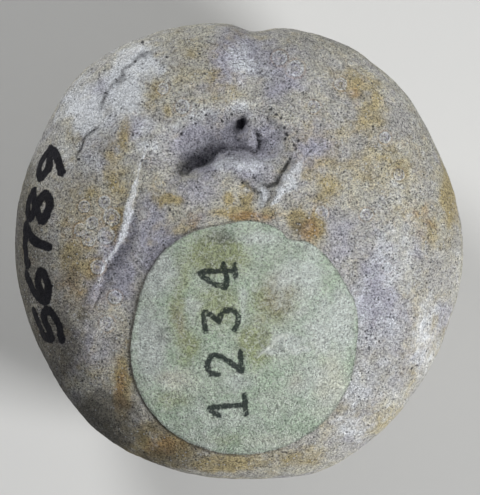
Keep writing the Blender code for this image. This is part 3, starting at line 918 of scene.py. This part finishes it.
def new_group(name, inputs, outputs):
    """An empty node group whose inputs are a Vector and these numbers."""
    group = bpy.data.node_groups.new(name, "ShaderNodeTree")
    group.interface.new_socket("Vector", in_out="INPUT", socket_type="NodeSocketVector")
    for names, way in ((inputs, "INPUT"), (outputs, "OUTPUT")):
        for socket in names:
            group.interface.new_socket(socket, in_out=way, socket_type="NodeSocketFloat")
    return group, group.nodes.new("NodeGroupInput").outputs, group.nodes.new("NodeGroupOutput").inputs


def use(group, **sockets):
    """Puts a group into a material with values of its own, and returns its outputs."""
    return node("Group", sockets, node_tree=group).outputs


def scaled(vector, size):
    """A group's vector divided by its size."""
    share = maths("DIVIDE", 1.0, size)
    return node("VectorMath", {0: vector, 3: share}, operation="SCALE").outputs[0]


def cells_of(vector, randomness=1.0):
    """A Voronoi texture's distance to its cell's middle, and three random numbers for each cell."""
    cells = node("TexVoronoi", {"Vector": vector, "Scale": 1.0, "Randomness": randomness}).outputs
    return cells["Distance"], node("SeparateColor", {0: cells["Color"]}).outputs


# %% The grain group: sand and thin crinkles, with a tone of its own in each grain
grain_group, given, gives = new_group("grain", ["Size"], ["Tone", "Height"])
tree = grain_group
place = scaled(given["Vector"], given["Size"])
sand = clouds(place, 2.2, detail=4.0, roughness=0.72)
distance, chance = cells_of(place)
# A crinkle is a thin line where slow noise crosses its middle value, kept only in patches
line = fade(away_from(clouds(place, 5.0, detail=3.0, roughness=0.75), 0.5), 0.055, 0.012)
crinkle = times(line, fade(clouds(place, 12.0), 0.42, 0.58))
tone = times(chance[0], 0.6, plus=times(fade(sand, 0.35, 0.65), 0.3))
tree.links.new(times(crinkle, 0.5, plus=tone), gives["Tone"])
bumpy = times(crinkle, 0.5, plus=times(distance, -0.45))
tree.links.new(times(sand, 1.6, plus=bumpy), gives["Height"])
print("grain group made")

# %% The specks group: sparse dots of uneven size
speck_group, given, gives = new_group("specks", ["Spacing", "Share", "Size"], ["Mask"])
tree = speck_group
distance, chance = cells_of(scaled(given["Vector"], given["Spacing"]))
chosen = maths("LESS_THAN", chance[0], given["Share"])
reach = times(given["Size"], fade(chance[1], 0, 1, 0.45, 1.0))
dot = fade(maths("DIVIDE", distance, reach), 1.0, 0.55)
tree.links.new(times(dot, chosen), gives["Mask"])
print("speck group made")

# %% The stain group: breaks up the edge of a painted amount
stain_group, given, gives = new_group("stain_edge", ["Amount", "Size", "Ragged"], ["Mask"])
tree = stain_group
place = scaled(given["Vector"], given["Size"])
broken = maths("SUBTRACT", clouds(place, 1.0, detail=4.0, roughness=0.6), 0.5)
total = times(broken, given["Ragged"], plus=given["Amount"])
tree.links.new(fade(total, 0.1, 1.0), gives["Mask"])
print("stain group made")

# %% The boss group: small tubercles scattered over the whole test
boss_group, given, gives = new_group("bosses", ["Spacing"], ["Boss", "Ring"])
tree = boss_group
distance, chance = cells_of(scaled(given["Vector"], given["Spacing"]), randomness=0.85)
keeps = fade(chance[2], 0.45, 0.9)
tree.links.new(times(fade(distance, 0.22, 0.04), keeps), gives["Boss"])
tree.links.new(times(fade(away_from(distance, 0.3), 0.08, 0.0), keeps), gives["Ring"])
print("groups:", [group.name for group in bpy.data.node_groups])

# %% [markdown]
# ## The stone's material
# The colour is built from the bottom up: a mottled ground of cream and grey, then the stains, then the
# marks of the animal, dark specks and pale grains, and the ink on top. The same specks and rings push the
# surface in or out with a Bump node, so light catches them from every side.

# %% Begin and finish a material


def new_material(name):
    """A material with its tree and shader, and the place on the piece in mm."""
    made = bpy.data.materials.new(name)
    made.use_nodes = True
    tree = made.node_tree
    place = tree.nodes.new("ShaderNodeTexCoord").outputs["Object"]
    spot = node("Mapping", {0: place, "Scale": (1 / MM,) * 3}).outputs[0]
    return made, tree, tree.nodes["Principled BSDF"], spot


def stain(colour, name, over, opacity, size, ragged, everywhere):
    """Lays a painted stain over a colour, with faint patches of it everywhere as well."""
    amount = stored(tree, name)
    if everywhere:
        patches = fade(clouds(spot, size * 3.4, 3.0, 0.6), 0.48, 0.68)
        amount = times(patches, everywhere, plus=amount)
    mask = use(stain_group, Vector=spot, Amount=amount, Size=size, Ragged=ragged)["Mask"]
    return lay(colour, mask, opacity, over)


def finish_material(piece, made, colour, relief, strength=1.0):
    """Links the colour and the relief, the sum of masks times their heights in mm, and dresses a piece."""
    tree, shader = made.node_tree, made.node_tree.nodes["Principled BSDF"]
    tree.links.new(colour, shader.inputs["Base Color"])
    height = 0.0
    for mask, tall in relief:
        height = times(mask, tall, plus=height)
    bump = node("Bump", {"Height": height, "Distance": MM, "Strength": strength})
    tree.links.new(bump.outputs[0], shader.inputs["Normal"])
    shader.inputs["Specular IOR Level"].default_value = 0.12
    piece.data.materials.clear()
    piece.data.materials.append(made)
    print(made.name, "has", len(tree.nodes), "nodes")


# %% Limestone: the ground and its stains
CREAM = (0.46, 0.45, 0.385, 1)
STONE_GREY = (0.38, 0.375, 0.365, 1)
TAN = (0.44, 0.38, 0.3, 1)
OCHRE = (0.37, 0.3, 0.14, 1)
RUST = (0.34, 0.215, 0.1, 1)
# a near-black brown for dirt, for painted shade on the left rim and for the label edge's painted shadow
DIRT_AND_SHADE = (0.085, 0.078, 0.066, 1)
LILAC = (0.365, 0.365, 0.445, 1)
CHALK = (0.64, 0.67, 0.715, 1)
# a near-black for dark specks, pits and pores, and for the painted shade in the hollows
SPECK_AND_SHADE_BLACK = (0.05, 0.05, 0.056, 1)
MARKER_INK = (0.006, 0.006, 0.012, 1)
STONE_STAINS = (  # (painted layer, colour, opacity, size of its patches in mm, raggedness, share everywhere)
    ("lilac", LILAC, 0.85, 0.8, 1.1, 0.45),
    ("ochre", OCHRE, 0.8, 0.6, 1.25, 0.4),
    ("rust", RUST, 0.75, 0.4, 1.3, 0),
    ("chalk", CHALK, 0.85, 0.5, 1.2, 0.3),
    # this layer also holds painted shade on the left rim
    ("dirt_and_rim_shade", DIRT_AND_SHADE, 0.7, 0.9, 0.7, 0),
)

limestone, tree, shader, spot = new_material("limestone")
colour = blend(fade(clouds(spot, 2.2, 8.0, 0.75), 0.38, 0.62), STONE_GREY, CREAM)
colour = blend(fade(clouds(spot, 1.1, 6.0, 0.75), 0.55, 0.72, 0.0, 0.6), colour, TAN)
for stained in STONE_STAINS:
    colour = stain(colour, *stained)
print("laid", len(STONE_STAINS), "stains")

# %% Limestone: the tubercles and their rings
worn = fade(clouds(spot, 0.4, 3.0), 0.3, 0.52)
share = times(clouds(spot, 0.16, 3.0), 0.5, plus=stored(tree, "tubercle"))


def ring_at(where, width):
    """A ring round each tubercle, at this share of its radius, worn away in places."""
    mean_noise = 0.25  # what the clouds add to share on average
    return times(fade(away_from(share, where + mean_noise), width, 0.05), worn)


boss, moat, collar, outside = ring_at(0.0, 0.35), ring_at(0.5, 0.25), ring_at(0.9, 0.22), ring_at(1.25, 0.25)
small = use(boss_group, Vector=spot, Spacing=0.95)
pale = maths("MAXIMUM", collar, times(small["Boss"], 0.4))
sunken = maths("MAXIMUM", outside, times(small["Ring"], 0.4))
colour = lay(colour, moat, 0.5, LILAC)
colour = lay(colour, pale, 0.5, CHALK)
colour = lay(colour, sunken, 0.25, RUST)

# %% Limestone: the pores of the petals
PORE_STEP = 0.24  # spacing of the pores along a petal
PORE_ROW = 0.66  # where a double row of pores runs, as a share of the petal's half width
PAIR_HALF = 0.17  # half the gap between its two rows, as such a share
PORES_FROM = 0.9  # how far from the crown they begin

from_crown, from_line = stored(tree, "along_petal"), stored(tree, "across_petal")
step = maths("SUBTRACT", maths("FRACT", maths("DIVIDE", from_crown, PORE_STEP)), 0.5)
pair_gap = away_from(away_from(maths("ABSOLUTE", from_line), PORE_ROW), PAIR_HALF)
squares = [maths("POWER", gap, 2.0) for gap in (pair_gap, times(step, PORE_STEP))]
pore_gap = maths("POWER", maths("ADD", *squares), 0.5)
pores = times(fade(pore_gap, 0.09, 0.05), maths("GREATER_THAN", from_crown, PORES_FROM))
colour = lay(colour, pores, 0.7, SPECK_AND_SHADE_BLACK)
print("marks laid")

# %% Limestone: grain, specks, pits and painted shade
GRAIN_SIZE = 0.044
smoothed = stored(tree, "chalk")
grain = use(grain_group, Vector=spot, Size=GRAIN_SIZE)
shade = blend(grain["Tone"], (0.08, 0.08, 0.1, 1), (2.15, 2.14, 2.11, 1))
colour = blend(fade(smoothed, 0.3, 0.9, 0.95, 0.7), colour, shade, "MULTIPLY")
crowd = fade(clouds(spot, 1.7, 2.0), 0.4, 0.62, 0.15, 0.6)
specks = use(speck_group, Vector=spot, Spacing=0.15, Share=crowd, Size=0.36)["Mask"]
flecks = use(speck_group, Vector=spot, Spacing=0.13, Share=0.32, Size=0.42)["Mask"]
holes = use(speck_group, Vector=spot, Spacing=0.62, Share=0.34, Size=0.13)["Mask"]
pits = maths("MAXIMUM", fade(stored(tree, "pit"), 0.085, 0.04), holes)
uneven = fade(clouds(spot, 0.16, 3.0), 0.3, 0.7, 0.72, 1.15)
# Painted shade in the hollows, broken up a little
hollow_shade = times(stored(tree, "painted_shade"), uneven)
# Glue round the label, with the label edge's painted shadow
glue_and_edge_shadow = use(stain_group, Vector=spot, Amount=stored(tree, "glue_and_edge_shadow"), Size=0.25, Ragged=1.2)["Mask"]
for mask, opacity, over in (
    (specks, 0.9, SPECK_AND_SHADE_BLACK), (flecks, 0.6, CHALK), (pits, 0.9, SPECK_AND_SHADE_BLACK), (hollow_shade, 0.85, SPECK_AND_SHADE_BLACK), (glue_and_edge_shadow, 0.75, DIRT_AND_SHADE),
):
    colour = lay(colour, mask, opacity, over)
print("grain and specks laid")

# %% Limestone: ink, and the fine relief in mm
PEN_EDGE = (0.325, 0.265)  # the ink fades between these distances from a stroke
edge = times(clouds(spot, 0.13, 3.0), 0.14, plus=stored(tree, "ink"))
ink_mask = fade(edge, *PEN_EDGE)
colour = lay(colour, ink_mask, 0.97, MARKER_INK)
tree.links.new(fade(ink_mask, 0, 1, 0.9, 0.55), shader.inputs["Roughness"])
relief = (
    (grain["Height"], 0.075), (clouds(spot, 0.6, 6.0, 0.72), 0.145), (specks, -0.04), (flecks, 0.02),
    (pale, 0.05), (boss, 0.03), (moat, -0.02), (sunken, -0.03), (pores, -0.05), (pits, -0.09), (hollow_shade, -0.05),
)
finish_material(stone, limestone, colour, relief, fade(smoothed, 0.3, 0.9, 1.0, 0.8))

# %% [markdown]
# ## The label's material
# Cheap coloured paper fades in patches, and its skin has crinkled and lifted in short fibres. The stains
# are laid over each other as on the stone. The stamp's ink is thin and broken, because rubber prints a
# rough surface badly.

# %% Green paper: its patches
PAPER_GREEN = (0.378, 0.463, 0.362, 1)
FADED_GREEN = (0.455, 0.52, 0.435, 1)
OLIVE = (0.3, 0.33, 0.17, 1)
LIME_BLOOM = (0.56, 0.6, 0.58, 1)
DAMP_BROWN = (0.3, 0.265, 0.19, 1)
GRIME = (0.13, 0.135, 0.125, 1)
OLD_CREAM = (0.58, 0.585, 0.5, 1)
TORN_FIBRE = (0.74, 0.78, 0.72, 1)
STAMP_INK = (0.01, 0.018, 0.02, 1)
PAPER_STAINS = (  # columns as in STONE_STAINS
    ("olive", OLIVE, 0.8, 0.9, 0.8, 0),
    ("brown", DAMP_BROWN, 0.7, 0.7, 0.8, 0),
    ("cream", OLD_CREAM, 0.8, 0.8, 0.8, 0),
    ("bloom", LIME_BLOOM, 0.85, 0.7, 1.0, 0.35),
    ("grime", GRIME, 0.65, 0.25, 1.3, 0),
)

green_paper, tree, shader, spot = new_material("green_paper")
colour = blend(fade(clouds(spot, 1.1, 5.0, 0.65), 0.38, 0.62), PAPER_GREEN, FADED_GREEN)
for stained in PAPER_STAINS:
    colour = stain(colour, *stained)
print("laid", len(PAPER_STAINS), "patches")

# %% Green paper: grain, fibres and ink
STAMP_EDGE = (0.26, 0.19)
grain = use(grain_group, Vector=spot, Size=GRAIN_SIZE)
shade = blend(grain["Tone"], (0.3, 0.3, 0.3, 1), (1.68, 1.68, 1.68, 1))
colour = blend(1.0, colour, shade, "MULTIPLY")
line = fade(away_from(clouds(spot, 0.34, 2.0, 0.7), 0.5), 0.06, 0.015)
fibre = times(line, fade(clouds(spot, 0.2, 2.0, 0.8), 0.42, 0.58))
torn = use(stain_group, Vector=spot, Amount=stored(tree, "torn"), Size=0.2, Ragged=1.6)["Mask"]
flecks = use(speck_group, Vector=spot, Spacing=0.24, Share=stored(tree, "bloom"), Size=0.24)["Mask"]
worn_edge = times(clouds(spot, 0.14, 3.0), 0.2, plus=stored(tree, "ink"))
missed = fade(clouds(spot, 0.17, 3.0, 0.7), 0.68, 0.54, 0.35, 1.0)
ink_mask = times(fade(worn_edge, *STAMP_EDGE), missed)
for mask, opacity, over in (
    (fibre, 0.5, TORN_FIBRE), (torn, 1.0, TORN_FIBRE), (flecks, 0.5, GRIME), (ink_mask, 0.9, STAMP_INK),
):
    colour = lay(colour, mask, opacity, over)
shader.inputs["Roughness"].default_value = 0.9
cockles = clouds(spot, 0.4, 6.0, 0.72)
relief = ((grain["Height"], 0.055), (fibre, 0.03), (cockles, 0.12), (flecks, -0.03))
finish_material(label, green_paper, colour, relief)

# %% [markdown]
# ## Into the frame
# Both pieces stand for a solid of the frame and move with it.

# %% Put them in the frame
for piece, solid in ((stone, "fossil_test"), (label, "paper_label")):
    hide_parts(solid)
    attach(piece, "root")
bpy.context.view_layer.update()
